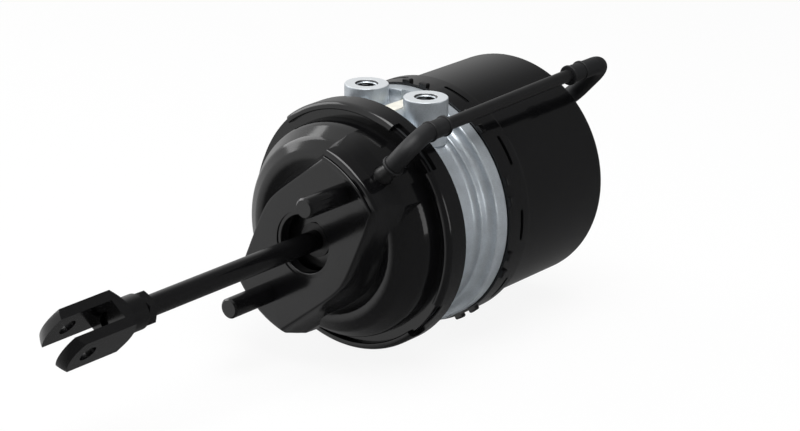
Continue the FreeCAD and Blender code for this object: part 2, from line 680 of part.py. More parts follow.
def make_release_nut():
    inner = CAN_END - CAN_T
    return revolve([(BOLT_R + RUNNING, inner - RELEASE_NUT_IN), (RELEASE_NUT_R + 4, inner - RELEASE_NUT_IN, 1),
                    (RELEASE_NUT_R + 4, inner), (RELEASE_NUT_R, inner), (RELEASE_NUT_R, CAN_END + RELEASE_NUT_OUT, 1),
                    (BOLT_R + RUNNING, CAN_END + RELEASE_NUT_OUT)])


# Vent line

def path_wire(points, radii):
    """Straight runs through points, joined by tangent arcs."""
    edges = []
    start = points[0]
    for i in range(1, len(points) - 1):
        corner = points[i]
        before = points[i - 1] - corner
        after = points[i + 1] - corner
        half = before.getAngle(after) / 2
        before.normalize()
        after.normalize()
        cut = radii[i - 1] * cos(half) / sin(half)
        middle = before + after
        middle.normalize()
        first = corner + before * cut
        last = corner + after * cut
        top = corner + middle * (radii[i - 1] / sin(half) - radii[i - 1])
        edges.append(Part.LineSegment(start, first).toShape())
        edges.append(Part.Arc(first, top, last).toShape())
        start = last
    edges.append(Part.LineSegment(start, points[-1]).toShape())
    return Part.Wire(edges)


def sweep(path, radius):
    start = path.Edges[0].Vertexes[0].Point
    lead = path.Edges[0].tangentAt(path.Edges[0].FirstParameter)
    section = Part.Wire(Part.Circle(start, lead, radius).toShape())
    return path.makePipeShell([section], True, False)


def vent_points():
    front = polar(*VENT_FRONT)
    back = polar(*VENT_BACK)
    line = back - front
    line.normalize()
    return front, back, line


def nipple_points():
    base = polar(SKIRT_R - 2.2, NIPPLE_ANGLE, NIPPLE_Y)
    tip = polar(SKIRT_R + NIPPLE_LENGTH, NIPPLE_ANGLE, NIPPLE_Y)
    rear_base = polar(BACK_NIPPLE_R, BACK_NIPPLE_ANGLE, CAN_END)
    rear_tip = rear_base + vec(0, NIPPLE_LENGTH - 5, 0)
    return base, tip, rear_base, rear_tip


def make_nipple(base, tip, sink):
    """Flanged cone with a bore, from its seat to its tip."""
    lead = tip - base
    length = lead.Length
    r = NIPPLE_R
    profile = [(1.6, -sink), (r, -sink), (r, 0), (NIPPLE_BASE_R, 0), (NIPPLE_BASE_R - 0.6, 3),
               (r + 0.3, 0.55 * length), (r + 0.3, length - 1), (r - 0.6, length), (1.6, length)]
    shape = revolve(profile)
    shape.Placement = FreeCAD.Placement(base, FreeCAD.Rotation(AXIS, lead))
    return shape


def make_vent_tube():
    front, back, line = vent_points()
    tube = rod(VENT_R, front, back)
    return tube.cut(rod(VENT_R - VENT_WALL, front - line, back + line))


def hose(points, radii, ends):
    """Rubber elbow: swept wall, with a bead near each listed end."""
    path = path_wire(points, radii)
    shape = sweep(path, HOSE_R)
    for place, lead, big in ends:
        bead = Part.makeCylinder(HOSE_R + big, 2.2, place, lead)
        bead = bead.makeFillet(min(0.8, big * 0.9), bead.Edges[0:1] + bead.Edges[2:3])
        shape = shape.fuse(bead)
    return shape


def make_front_elbow():
    front, back, line = vent_points()
    base, tip, _, _ = nipple_points()
    out = tip - base
    out.normalize()
    start = base + out * 0.62 * (tip - base).Length
    corner = polar(VENT_FRONT[0], NIPPLE_ANGLE + 0.6, NIPPLE_Y)
    end = front + line * HOSE_OVERLAP
    points = [start, corner, front - line * 12, end]
    ends = [(start, out, 1.6), (front - line * 8, line, HOSE_BEAD), (end - line * 2.2, line, HOSE_BEAD)]
    shape = hose(points, [FRONT_BEND, 20], ends)
    shape = shape.cut(make_nipple(*nipple_points()[:2], 1))
    return shape.cut(rod(VENT_R, front, end + line))


def make_rear_elbow():
    front, back, line = vent_points()
    _, _, base, tip = nipple_points()
    start = back - line * HOSE_OVERLAP
    turn = polar(VENT_BACK[0], VENT_BACK[1], BACK_TURN_Y)
    home = polar(BACK_NIPPLE_R, BACK_NIPPLE_ANGLE, BACK_TURN_Y)
    end = base + AXIS * 5
    ends = [(start, line, HOSE_BEAD), (back + line * 4, line, HOSE_BEAD), (end, AXIS, HOSE_BEAD)]
    shape = hose([start, turn, home, end], [BACK_BEND, BACK_BEND], ends)
    shape = shape.cut(make_nipple(base, tip, 1))
    return shape.cut(rod(VENT_R, start - line, back))


parts["service_housing"] = make_service_housing()
parts["mounting_studs"] = make_studs()
parts["hub_ring"] = make_hub_ring()
parts["spring_cup"] = make_spring_cup()
parts["rod_bush"] = make_rod_bush()
parts["push_rod"] = make_push_rod()
parts["push_plate"] = make_push_plate()
parts["return_spring"] = make_return_spring()
parts["lock_nut"] = make_lock_nut()
parts["clevis"] = make_clevis()
parts["clamp_ring"] = make_clamp_ring()
parts["service_diaphragm"] = make_diaphragm()
parts["centre_body"] = make_body()
parts["port_plate"] = plate_block(0, PLATE_Z + PLATE_T)
parts["bore_bush"] = make_bore_bush()
parts["bore_seals"] = make_bore_seals()
parts["flange_o_ring"] = make_flange_o_ring()
parts["lock_wire"] = make_lock_wire()
parts["rear_housing"] = make_rear_housing()
parts["spring_piston"] = make_piston()
parts["piston_seal"] = make_piston_ring(SEAL_Y, SEAL_W)
parts["piston_guide_ring"] = make_piston_ring(GUIDE_Y, GUIDE_W)
parts["push_tube"] = make_push_tube()
parts["tube_stopper"] = make_tube_stopper()
parts["power_spring"] = make_power_spring()
parts["spring_seat"] = make_spring_seat()
parts["release_bolt"] = make_release_bolt()
parts["bolt_clip"] = make_bolt_clip()
parts["thrust_washer"] = make_thrust_washer()
parts["release_nut"] = make_release_nut()
parts["front_nipple"] = make_nipple(*nipple_points()[:2], 3.0)
parts["rear_nipple"] = make_nipple(*nipple_points()[2:], CAN_T)
parts["vent_tube"] = make_vent_tube()
parts["front_elbow"] = make_front_elbow()
parts["rear_elbow"] = make_rear_elbow()

os.makedirs("parts", exist_ok=True)
for name, shape in parts.items():
    shape.exportStep("parts/" + name + ".step")
    kinds = [len(shape.Solids), round(shape.Volume / 1000, 2), shape.isValid()]
    print(name, *kinds)
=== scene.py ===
import json
import math

import bpy
from mathutils import Matrix, Vector

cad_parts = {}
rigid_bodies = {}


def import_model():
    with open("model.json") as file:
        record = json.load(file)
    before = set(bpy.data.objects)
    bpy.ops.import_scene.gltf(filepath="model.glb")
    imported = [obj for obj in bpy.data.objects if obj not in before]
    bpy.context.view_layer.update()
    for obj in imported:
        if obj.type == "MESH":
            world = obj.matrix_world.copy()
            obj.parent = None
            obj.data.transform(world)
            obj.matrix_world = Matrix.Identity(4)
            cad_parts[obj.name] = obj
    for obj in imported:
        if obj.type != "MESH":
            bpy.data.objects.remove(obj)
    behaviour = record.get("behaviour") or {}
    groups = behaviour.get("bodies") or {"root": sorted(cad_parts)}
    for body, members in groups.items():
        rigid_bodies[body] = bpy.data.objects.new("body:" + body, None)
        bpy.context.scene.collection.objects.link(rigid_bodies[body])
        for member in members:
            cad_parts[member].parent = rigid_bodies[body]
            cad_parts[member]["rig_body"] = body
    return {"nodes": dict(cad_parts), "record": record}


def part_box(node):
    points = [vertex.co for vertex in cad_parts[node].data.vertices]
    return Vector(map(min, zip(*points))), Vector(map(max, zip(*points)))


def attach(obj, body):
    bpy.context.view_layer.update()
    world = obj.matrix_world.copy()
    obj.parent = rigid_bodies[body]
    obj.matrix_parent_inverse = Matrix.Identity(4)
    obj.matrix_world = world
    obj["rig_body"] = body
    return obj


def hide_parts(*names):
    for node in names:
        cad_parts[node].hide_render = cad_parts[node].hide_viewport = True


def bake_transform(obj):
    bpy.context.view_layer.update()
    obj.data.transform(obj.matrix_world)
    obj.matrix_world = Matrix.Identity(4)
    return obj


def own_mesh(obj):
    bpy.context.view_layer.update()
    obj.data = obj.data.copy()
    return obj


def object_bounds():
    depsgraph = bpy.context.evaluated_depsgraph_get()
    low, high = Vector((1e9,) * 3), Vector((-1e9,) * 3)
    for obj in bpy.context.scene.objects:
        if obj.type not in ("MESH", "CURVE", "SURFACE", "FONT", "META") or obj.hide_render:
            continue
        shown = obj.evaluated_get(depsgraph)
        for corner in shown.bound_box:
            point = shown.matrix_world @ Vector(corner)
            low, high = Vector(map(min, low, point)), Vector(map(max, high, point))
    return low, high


bl_info = {
    "name": "Air brake chamber finish",
    "version": (1, 0, 0),
    "blender": (4, 5, 0),
    "location": "View3D > Sidebar > Brake chamber",
    "description": "Finishes, coil springs, port threads and studio for a spring brake chamber",
    "category": "Object",
}

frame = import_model()
CAD_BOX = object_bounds()
MOUNTS = {mount["name"]: mount for mount in frame["record"]["mounts"]}
PORTS = ("service_port", "parking_port")

# The photograph's camera: where it stands, where it looks, how many degrees it leans, and its lens and
# sensor in millimetres
CAMERA_PLACE = (1.2732, -1.5249, 0.7036)
CAMERA_AIM = (-0.5795, 0.7478, -0.3238)
CAMERA_LEAN = 0.7
CAMERA_LENS = 126.0
CAMERA_SENSOR = 36.0

# What gloss and metal see: a bright wall at the left and in front, and a dim one behind and at the right.
# They fade into each other between two cosines of the angle to the bright side.
BRIGHT_SIDE = (-0.86, -0.36, 0.36)
BRIGHT_WALL = 0.9
DARK_WALL = 0.14
WALL_FADE = (0.05, 0.75)

# Lamps: the place and width of each in metres, and the setting that holds its power
LAMPS = {"left_lamp": ((-1.60, -0.20, 0.95), 1.1, "left_watts"),
         "top_lamp": ((0.30, -0.10, 1.90), 1.5, "top_watts"),
         "right_lamp": ((1.90, 0.60, 0.35), 0.9, "right_watts")}
LAMP_AIM = (0, 0.03, 0)

# Floor: its gap under the part and its reach in metres, and the share of plain white in what the camera sees
FLOOR_GAP = 0.0005
FLOOR_REACH = 8.0
FLOOR_WHITE = 0.9

# Ports, in millimetres: the depth to which their tops count as milled, the width of the painted shade round a
# bore's mouth, and where the edge left without that shade, between bore and mouth, starts and ends, from the
# bore's wall
MILLED_DEPTH = 0.3
SHADED_MOUTH_WIDTH = 1.85
UNSHADED_EDGE = (0.04, 0.76)

# Patterns that aren't settings: the sizes of their blotches in millimetres, and how many marks of the lathe
# go into a millimetre across and along the axis
PAINT_CLOUD = 33.3
PAINT_DUST = 0.4
STEEL_CLOUD = 8.33
CAST_CLOUD = 14.3
MOULD_CLOUD = 11.1
ROD_MARKS = (0.25, 6.0, 0.25)
LATHE_RINGS = (0.1, 4.0, 0.1)

# Coils: steps in a turn, and sides of a spring's wire and of a thread's ridge
TURN_STEPS = 40
WIRE_SIDES = 20
RIDGE_SIDES = 6

# Points of a CAD node that lie closer than this, in metres, are one point
WELD = 1e-6

# Nodes by finish
PRESSED_STEEL = ("service_housing", "clamp_ring", "rear_housing")
FORGED_STEEL = ("mounting_studs", "lock_wire", "hub_ring", "spring_cup", "push_rod", "push_plate", "lock_nut",
                "clevis")
ZINC_STEEL = ("push_tube", "release_bolt", "thrust_washer", "release_nut")
BLACK_NYLON = ("vent_tube", "rod_bush", "tube_stopper", "front_nipple", "rear_nipple")
NATURAL_NYLON = ("piston_guide_ring", "spring_seat")
SEALS = ("bore_seals", "flange_o_ring", "piston_seal")
ELBOWS = ("front_elbow", "rear_elbow")


# Settings

def linear(text):
    """Linear colour of an sRGB hex value."""
    parts = [int(text[i:i + 2], 16) / 255 for i in (1, 3, 5)]
    return [c / 12.92 if c <= 0.04045 else ((c + 0.055) / 1.055) ** 2.4 for c in parts]


def colour(name, what, text):
    return bpy.props.FloatVectorProperty(name=name, description=what, subtype="COLOR", size=3, min=0, max=1,
                                         default=linear(text))


def grain(name, what, size):
    """Size of a fine pattern in millimetres."""
    return bpy.props.FloatProperty(name=name, description=what, default=size, min=0.01, soft_max=20)


def length(name, what, size):
    return bpy.props.FloatProperty(name=name, description=what, default=size, unit="LENGTH", min=0.0005)


def turns(name, what, count):
    return bpy.props.FloatProperty(name=name, description=what, default=count, min=1)


def watts(name, what, power):
    return bpy.props.FloatProperty(name=name, description=what, default=power, subtype="POWER", min=0)


class SteelSettings(bpy.types.PropertyGroup):
    """Pressed, forged and plated steel"""
    paint: colour("Paint", "Colour of the housings' black electrocoat", "#0c0c0d")
    paint_grain: grain("Paint ripple", "Ripple of the electrocoat in millimetres", 2.2)
    black: colour("Black steel", "Colour of the rod, fork, nut and studs", "#0b0b0c")
    zinc: colour("Zinc", "Colour of the plated pieces", "#b9bcbf")
    spring: colour("Spring wire", "Colour of the phosphated springs", "#4a4d52")


class CastingSettings(bpy.types.PropertyGroup):
    """Cast body, piston, bush and bare plate"""
    metal: colour("Aluminium", "Colour of the blasted casting", "#c0c7cd")
    skin_grain: grain("Skin grain", "Grain of the blasted skin in millimetres", 0.9)
    milled: colour("Milled aluminium", "Colour of the milled tops of the port bosses", "#d6dadd")
    # Painted shade: a dark colour laid inside the tapped ports in place of the shade of their depth
    darkened: colour("Oiled bore", "Colour of the casting inside the tapped ports", "#343537")
    thread: colour("Thread", "Colour of the oiled port threads", "#5d6063")
    thread_pitch: length("Thread pitch", "Pitch of the port threads", 0.0015)
    turned: colour("Turned aluminium", "Colour of the turned piston", "#c4c7ca")
    bronze: colour("Bronze", "Colour of the bore's bush", "#a47a45")
    plate: colour("Plate", "Colour of the bare plate between the ports", "#f1eee2")


class LineSettings(bpy.types.PropertyGroup):
    """Rubber and nylon"""
    rubber: colour("Rubber", "Colour of the moulded elbows", "#0a0b0e")
    rubber_grain: grain("Rubber grain", "Grain of the moulded rubber in millimetres", 0.5)
    membrane: colour("Diaphragm", "Colour of the diaphragm and seals", "#1e2022")
    nylon: colour("Black nylon", "Colour of the tube and the nipples", "#0f0f10")
    natural: colour("Natural nylon", "Colour of the guide ring and the spring seat", "#d9d5c8")


class SpringSettings(bpy.types.PropertyGroup):
    """Conical return spring and straight power spring"""
    return_wire: length("Return wire", "Diameter of the return spring's wire", 0.004)
    return_front: length("Front radius", "Coil radius of the return spring at the hub", 0.0345)
    return_back: length("Back radius", "Coil radius of the return spring at the plate", 0.050)
    return_turns: turns("Return turns", "Turns of the return spring", 6.0)
    power_wire: length("Power wire", "Diameter of the power spring's wire", 0.012)
    power_radius: length("Power radius", "Coil radius of the power spring", 0.068)
    power_turns: turns("Power turns", "Turns of the power spring", 4.25)


class StageSettings(bpy.types.PropertyGroup):
    """Floor, lamps and even light"""
    floor: colour("Floor", "Colour of the floor", "#f4f4f4")
    left_watts: watts("Left lamp", "Power of the lamp at the left", 10.0)
    top_watts: watts("Top lamp", "Power of the lamp overhead", 34.0)
    right_watts: watts("Right lamp", "Power of the lamp at the right", 4.0)
    world: bpy.props.FloatProperty(name="World", description="Strength of the even light", default=0.32,
                                   min=0)


# Materials

def add(tree, kind, inputs=None, **settings):
    """Adds a node, with its settings and with values or links for its inputs."""
    node = tree.nodes.new(kind)
    for name, value in settings.items():
        setattr(node, name, value)
    for name, value in (inputs or {}).items():
        if isinstance(value, bpy.types.NodeSocket):
            tree.links.new(value, node.inputs[name])
        else:
            node.inputs[name].default_value = value
    return node


def new_material(name):
    """Material with its shader, and the place of a point of its piece in millimetres."""
    material = bpy.data.materials.new(name)
    material.use_nodes = True
    tree = material.node_tree
    tree.nodes.clear()
    shader = add(tree, "ShaderNodeBsdfPrincipled")
    add(tree, "ShaderNodeOutputMaterial", {"Surface": shader.outputs["BSDF"]})
    place = add(tree, "ShaderNodeTexCoord").outputs["Object"]
    millimetres = add(tree, "ShaderNodeVectorMath", {0: place, 1: (1000, 1000, 1000)}, operation="MULTIPLY")
    return material, tree, shader, millimetres.outputs["Vector"]


def tinted(tree, value, base, spread):
    """Colour that wanders a little darker and lighter with a texture."""
    dark = [c * (1 - spread) for c in base] + [1]
    light = [min(c * (1 + spread), 1) for c in base] + [1]
    ramp = add(tree, "ShaderNodeValToRGB", {"Fac": value})
    for stop, position, shade in zip(ramp.color_ramp.elements, (0.3, 0.7), (dark, light)):
        stop.position = position
        stop.color = shade
    return ramp.outputs["Color"]


def covered(tree, shade, mask, cover):
    """Colour that another colour covers where a mask is 1."""
    mix = add(tree, "ShaderNodeMix", {"Factor": mask}, data_type="RGBA")
    under, over = [socket for socket in mix.inputs if socket.type == "RGBA"]
    tree.links.new(shade, under)
    over.default_value = (*cover, 1)
    return next(socket for socket in mix.outputs if socket.type == "RGBA")


def finish(tree, shader, shade, wear, roughness, *reliefs):
    """Gives a shader its colour, a roughness that goes with the wear, and reliefs on top of each other.

    A relief is its height, its strength and its depth in metres."""
    rough = add(tree, "ShaderNodeMapRange", {"Value": wear, "To Min": roughness[0], "To Max": roughness[1]})
    tree.links.new(shade, shader.inputs["Base Color"])
    tree.links.new(rough.outputs["Result"], shader.inputs["Roughness"])
    normal = {}
    for height, strength, depth in reliefs:
        inputs = {"Height": height, "Strength": strength, "Distance": depth, **normal}
        normal = {"Normal": add(tree, "ShaderNodeBump", inputs).outputs["Normal"]}
    tree.links.new(normal["Normal"], shader.inputs["Normal"])


def electrocoat(base, ripple):
    """Black electrocoat on deep-drawn steel: glossy, with a slight ripple and fine dust in it."""
    material, tree, shader, place = new_material("Black electrocoated steel")
    wave = add(tree, "ShaderNodeTexNoise", {"Vector": place, "Scale": 1 / ripple, "Detail": 2.0})
    cloud = add(tree, "ShaderNodeTexNoise", {"Vector": place, "Scale": 1 / PAINT_CLOUD, "Detail": 4.0})
    dust = add(tree, "ShaderNodeTexNoise", {"Vector": place, "Scale": 1 / PAINT_DUST, "Detail": 2.0})
    shade = tinted(tree, cloud.outputs["Fac"], base, 0.05)
    finish(tree, shader, shade, cloud.outputs["Fac"], (0.10, 0.15),
           (wave.outputs["Fac"], 0.10, 0.0001), (dust.outputs["Fac"], 0.06, 0.00005))
    return material


def black_steel(base):
    """Black zinc on turned and forged steel: dark and shiny, with fine turning marks along the rod."""
    material, tree, shader, place = new_material("Black zinc steel")
    along = add(tree, "ShaderNodeMapping", {"Vector": place, "Scale": ROD_MARKS})
    marks = add(tree, "ShaderNodeTexNoise", {"Vector": along.outputs["Vector"], "Scale": 1.0, "Detail": 3.0})
    cloud = add(tree, "ShaderNodeTexNoise", {"Vector": place, "Scale": 1 / STEEL_CLOUD, "Detail": 3.0})
    shade = tinted(tree, cloud.outputs["Fac"], base, 0.10)
    finish(tree, shader, shade, marks.outputs["Fac"], (0.12, 0.22), (marks.outputs["Fac"], 0.08, 0.00005))
    return material


def cast_aluminium(casting):
    """Shot-blasted die casting: matt, cool grey and finely pitted, with milled port bosses and painted shade
    in their tapped bores.
    """
    material, tree, shader, place = new_material("Blasted cast aluminium")
    pits = add(tree, "ShaderNodeTexNoise", {"Vector": place, "Scale": 1 / casting.skin_grain, "Detail": 4.0,
                                            "Roughness": 0.65})
    cloud = add(tree, "ShaderNodeTexNoise", {"Vector": place, "Scale": 1 / CAST_CLOUD, "Detail": 3.0})
    blotch = add(tree, "ShaderNodeMath", {0: cloud.outputs["Fac"], 1: pits.outputs["Fac"]}, operation="ADD")
    mean = add(tree, "ShaderNodeMath", {0: blotch.outputs["Value"], 1: 0.5}, operation="MULTIPLY")
    tops = milled_tops(tree, place)
    shade = covered(tree, tinted(tree, mean.outputs["Value"], casting.metal, 0.22), tops, casting.milled)
    # Painted shade: each port's bore and mouth are darkened, all but a thin edge ring between them
    for name in PORTS:
        shade = covered(tree, shade, painted_port_shade(tree, place, MOUNTS[name]), casting.darkened)
    metal = add(tree, "ShaderNodeMapRange", {"Value": tops, "To Min": 0.6, "To Max": 0.25})
    tree.links.new(metal.outputs["Result"], shader.inputs["Metallic"])
    finish(tree, shader, shade, pits.outputs["Fac"], (0.30, 0.46), (pits.outputs["Fac"], 0.35, 0.0001))
    return material


def milled_tops(tree, place):
    """Mask of the milled tops of the port bosses, the highest faces of the casting."""
    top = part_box("centre_body")[1][2] * 1000 - MILLED_DEPTH
    height = add(tree, "ShaderNodeSeparateXYZ", {"Vector": place})
    above = add(tree, "ShaderNodeMath", {0: height.outputs["Z"], 1: top}, operation="GREATER_THAN")
    return above.outputs["Value"]


def painted_port_shade(tree, place, port):
    """Mask of the painted shade in a port's bore and mouth, without the edge between them, which keeps the
    casting's colour.
    """
    middle = [c * 1000 for c in port["pos_m"][:2]] + [0]
    radius = port["dims"]["r_mm"]
    start, end = UNSHADED_EDGE
    flat = add(tree, "ShaderNodeVectorMath", {0: place, 1: (1, 1, 0)}, operation="MULTIPLY")
    away = add(tree, "ShaderNodeVectorMath", {0: flat.outputs["Vector"], 1: middle},
               operation="DISTANCE").outputs["Value"]
    inside = add(tree, "ShaderNodeMath", {0: away, 1: radius + SHADED_MOUTH_WIDTH}, operation="LESS_THAN")
    edge = add(tree, "ShaderNodeMath", {0: away, 1: radius + (start + end) / 2, 2: (end - start) / 2},
               operation="COMPARE")
    shaded = add(tree, "ShaderNodeMath", {0: inside.outputs["Value"], 1: edge.outputs["Value"]},
               operation="SUBTRACT")
    return shaded.outputs["Value"]


def turned_metal(name, base, roughness):
    """Bare metal from the lathe or from plating: bright, with fine rings round the chamber's axis."""
    material, tree, shader, place = new_material(name)
    along = add(tree, "ShaderNodeMapping", {"Vector": place, "Scale": LATHE_RINGS})
    rings = add(tree, "ShaderNodeTexNoise", {"Vector": along.outputs["Vector"], "Scale": 1.0, "Detail": 3.0})
    shader.inputs["Metallic"].default_value = 1.0
    shade = tinted(tree, rings.outputs["Fac"], base, 0.07)
    finish(tree, shader, shade, rings.outputs["Fac"], (roughness - 0.06, roughness + 0.08),
           (rings.outputs["Fac"], 0.10, 0.00005))
    return material


def moulded(name, base, size, roughness, strength):
    """Moulded rubber, nylon or enamel: even colour under a fine grain of a size in millimetres."""
    material, tree, shader, place = new_material(name)
    skin = add(tree, "ShaderNodeTexNoise", {"Vector": place, "Scale": 1 / size, "Detail": 2.0})
    cloud = add(tree, "ShaderNodeTexNoise", {"Vector": place, "Scale": 1 / MOULD_CLOUD, "Detail": 3.0})
    shade = tinted(tree, cloud.outputs["Fac"], base, 0.08)
    finish(tree, shader, shade, cloud.outputs["Fac"], (roughness - 0.05, roughness + 0.07),
           (skin.outputs["Fac"], strength, 0.0001))
    return material


# Pieces

def new_object(name, mesh):
    piece = bpy.data.objects.new(name, mesh)
    bpy.context.scene.collection.objects.link(piece)
    return piece


def apply_modifiers(piece):
    """Turns a piece and its modifiers into one plain mesh."""
    graph = bpy.context.evaluated_depsgraph_get()
    graph.update()
    made = bpy.data.meshes.new_from_object(piece.evaluated_get(graph))
    made.name = piece.name
    piece.modifiers.clear()
    piece.data = made


def smooth_copy(node, material, sharp=32):
    """Seamless copy of a CAD node, smooth but for the edges sharper than an angle in degrees."""
    mesh = frame["nodes"][node].data.copy()
    mesh.name = node + "_skin"
    piece = new_object(node + "_skin", mesh)
    mesh.materials.clear()
    mesh.materials.append(material)
    if mesh.has_custom_normals:
        bpy.context.view_layer.objects.active = piece
        bpy.ops.mesh.customdata_custom_splitnormals_clear()
    weld = piece.modifiers.new("Weld", "WELD")
    weld.merge_threshold = WELD
    apply_modifiers(piece)
    piece.data.shade_smooth()
    piece.data.set_sharp_from_angle(angle=math.radians(sharp))
    weighted = piece.modifiers.new("Weighted normals", "WEIGHTED_NORMAL")
    weighted.keep_sharp = True
    apply_modifiers(piece)
    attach(piece, frame["nodes"][node]["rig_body"])
    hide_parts(node)
    return piece


def coil_tree():
    """Geometry Nodes tree that winds a wire along Z, for the springs and for the port threads."""
    tree = bpy.data.node_groups.new("Coil", "GeometryNodeTree")
    face = tree.interface
    face.new_socket("Geometry", in_out="INPUT", socket_type="NodeSocketGeometry")
    for name in ("Wire radius", "Start radius", "End radius", "Turns", "Height"):
        face.new_socket(name, in_out="INPUT", socket_type="NodeSocketFloat")
    face.new_socket("Sides", in_out="INPUT", socket_type="NodeSocketInt")
    face.new_socket("Material", in_out="INPUT", socket_type="NodeSocketMaterial")
    face.new_socket("Geometry", in_out="OUTPUT", socket_type="NodeSocketGeometry")
    given = add(tree, "NodeGroupInput").outputs
    spiral = add(tree, "GeometryNodeCurveSpiral", {"Resolution": TURN_STEPS, "Rotations": given["Turns"],
                                                   "Start Radius": given["Start radius"],
                                                   "End Radius": given["End radius"],
                                                   "Height": given["Height"]})
    wire = add(tree, "GeometryNodeCurvePrimitiveCircle", {"Resolution": given["Sides"],
                                                          "Radius": given["Wire radius"]})
    swept = add(tree, "GeometryNodeCurveToMesh", {"Curve": spiral.outputs["Curve"],
                                                  "Profile Curve": wire.outputs["Curve"], "Fill Caps": True})
    smooth = add(tree, "GeometryNodeSetShadeSmooth", {"Geometry": swept.outputs["Mesh"]})
    real = add(tree, "GeometryNodeRealizeInstances", {"Geometry": smooth.outputs["Geometry"]})
    painted = add(tree, "GeometryNodeSetMaterial", {"Geometry": real.outputs["Geometry"],
                                                    "Material": given["Material"]})
    add(tree, "NodeGroupOutput", {"Geometry": painted.outputs["Geometry"]})
    return tree


def wound(name, tree, values, place):
    """Plain mesh of the tree's coil, with its low end put at a place."""
    piece = new_object(name, bpy.data.meshes.new(name))
    modifier = piece.modifiers.new("Coil", "NODES")
    modifier.node_group = tree
    for item in tree.interface.items_tree:
        if item.in_out == "INPUT" and item.name in values:
            modifier[item.identifier] = values[item.name]
    apply_modifiers(piece)
    piece.data.transform(place)
    return piece


def coil_spring(name, node, tree, values):
    """Spring between the two ends of a CAD node, along +Y."""
    low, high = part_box(node)
    wire = values["Wire radius"]
    place = Matrix.Translation((0, low[1] + wire, 0)) @ Matrix.Rotation(math.radians(-90), 4, "X")
    return wound(name, tree, dict(values, Height=high[1] - low[1] - 2 * wire, Sides=WIRE_SIDES), place)


class BRAKE_OT_pressed_steel(bpy.types.Operator):
    """Paints the two drawn housings and the clamp ring"""
    bl_idname = "brake.pressed_steel"
    bl_label = "Pressed steel"

    def execute(self, context):
        steel = context.scene.brake_steel
        material = electrocoat(steel.paint, steel.paint_grain)
        for node in PRESSED_STEEL:
            smooth_copy(node, material, sharp=28)
        return {"FINISHED"}


class BRAKE_OT_forged_steel(bpy.types.Operator):
    """Finishes the rod, fork, nut, studs and plated pieces"""
    bl_idname = "brake.forged_steel"
    bl_label = "Forged and plated steel"

    def execute(self, context):
        steel = context.scene.brake_steel
        black = black_steel(steel.black)
        for node in FORGED_STEEL:
            smooth_copy(node, black)
        zinc = turned_metal("Zinc plated steel", steel.zinc, roughness=0.34)
        for node in ZINC_STEEL:
            smooth_copy(node, zinc)
        clip = turned_metal("Phosphated clip steel", steel.spring, roughness=0.40)
        smooth_copy("bolt_clip", clip)
        return {"FINISHED"}


class BRAKE_OT_castings(bpy.types.Operator):
    """Finishes the cast body, the piston, the bush and the bare plate"""
    bl_idname = "brake.castings"
    bl_label = "Castings"

    def execute(self, context):
        casting = context.scene.brake_casting
        smooth_copy("centre_body", cast_aluminium(casting), sharp=26)
        turned = turned_metal("Turned aluminium", casting.turned, roughness=0.30)
        smooth_copy("spring_piston", turned)
        bronze = turned_metal("Sintered bronze", casting.bronze, roughness=0.38)
        smooth_copy("bore_bush", bronze)
        plate = moulded("Cream enamel", casting.plate, size=0.6, roughness=0.45, strength=0.05)
        smooth_copy("port_plate", plate)
        return {"FINISHED"}


class BRAKE_OT_port_threads(bpy.types.Operator):
    """Winds the threads of the two air ports"""
    bl_idname = "brake.port_threads"
    bl_label = "Port threads"

    def execute(self, context):
        casting = context.scene.brake_casting
        pitch = casting.thread_pitch
        ridge = pitch / 3
        metal = turned_metal("Cut aluminium thread", casting.thread, roughness=0.32)
        tree = coil_tree()
        for name in PORTS:
            port = MOUNTS[name]
            # Half of a ridge is sunk into the bore, and the thread stops a pitch short of the bore's two ends
            radius = port["dims"]["r_mm"] / 1000 + ridge / 2
            height = port["dims"]["length_mm"] / 1000 - 2 * pitch
            values = {"Wire radius": ridge, "Start radius": radius, "End radius": radius, "Height": height,
                      "Turns": height / pitch, "Sides": RIDGE_SIDES, "Material": metal}
            low = Vector(port["pos_m"]) - Vector((0, 0, height / 2))
            thread = wound(name + "_thread", tree, values, Matrix.Translation(low))
            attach(thread, "chamber")
        return {"FINISHED"}


class BRAKE_OT_air_line(bpy.types.Operator):
    """Finishes the rubber elbows, the vent tube, the seals and the nylon pieces"""
    bl_idname = "brake.air_line"
    bl_label = "Rubber and nylon"

    def execute(self, context):
        line = context.scene.brake_line
        rubber = moulded("Moulded elbow rubber", line.rubber, size=line.rubber_grain, roughness=0.55,
                         strength=0.12)
        for node in ELBOWS:
            smooth_copy(node, rubber, sharp=40)
        nylon = moulded("Black extruded nylon", line.nylon, size=0.8, roughness=0.38, strength=0.05)
        for node in BLACK_NYLON:
            smooth_copy(node, nylon)
        natural = moulded("Natural nylon", line.natural, size=0.8, roughness=0.42, strength=0.05)
        for node in NATURAL_NYLON:
            smooth_copy(node, natural)
        membrane = moulded("Moulded diaphragm rubber", line.membrane, size=0.7, roughness=0.62, strength=0.15)
        for node in SEALS:
            smooth_copy(node, membrane)
        # The diaphragm is clamped at its rim and moves with the plate at its middle, so it is taken off its
        # body and left in place
        skin = smooth_copy("service_diaphragm", membrane)
        skin.parent = None
        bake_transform(skin)
        return {"FINISHED"}


class BRAKE_OT_springs(bpy.types.Operator):
    """Winds the return spring and the power spring"""
    bl_idname = "brake.springs"
    bl_label = "Coil springs"

    def execute(self, context):
        sizes = context.scene.brake_springs
        tree = coil_tree()
        steel = turned_metal("Phosphated spring steel", context.scene.brake_steel.spring, roughness=0.40)
        values = {"Wire radius": sizes.return_wire / 2, "Start radius": sizes.return_front,
                  "End radius": sizes.return_back, "Turns": sizes.return_turns, "Material": steel}
        soft = coil_spring("return_coil", "return_spring", tree, values)
        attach(soft, "chamber")
        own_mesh(soft)
        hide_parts("return_spring")
        values = {"Wire radius": sizes.power_wire / 2, "Start radius": sizes.power_radius,
                  "End radius": sizes.power_radius, "Turns": sizes.power_turns, "Material": steel}
        strong = coil_spring("power_coil", "power_spring", tree, values)
        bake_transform(strong)
        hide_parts("power_spring")
        return {"FINISHED"}


# Stage

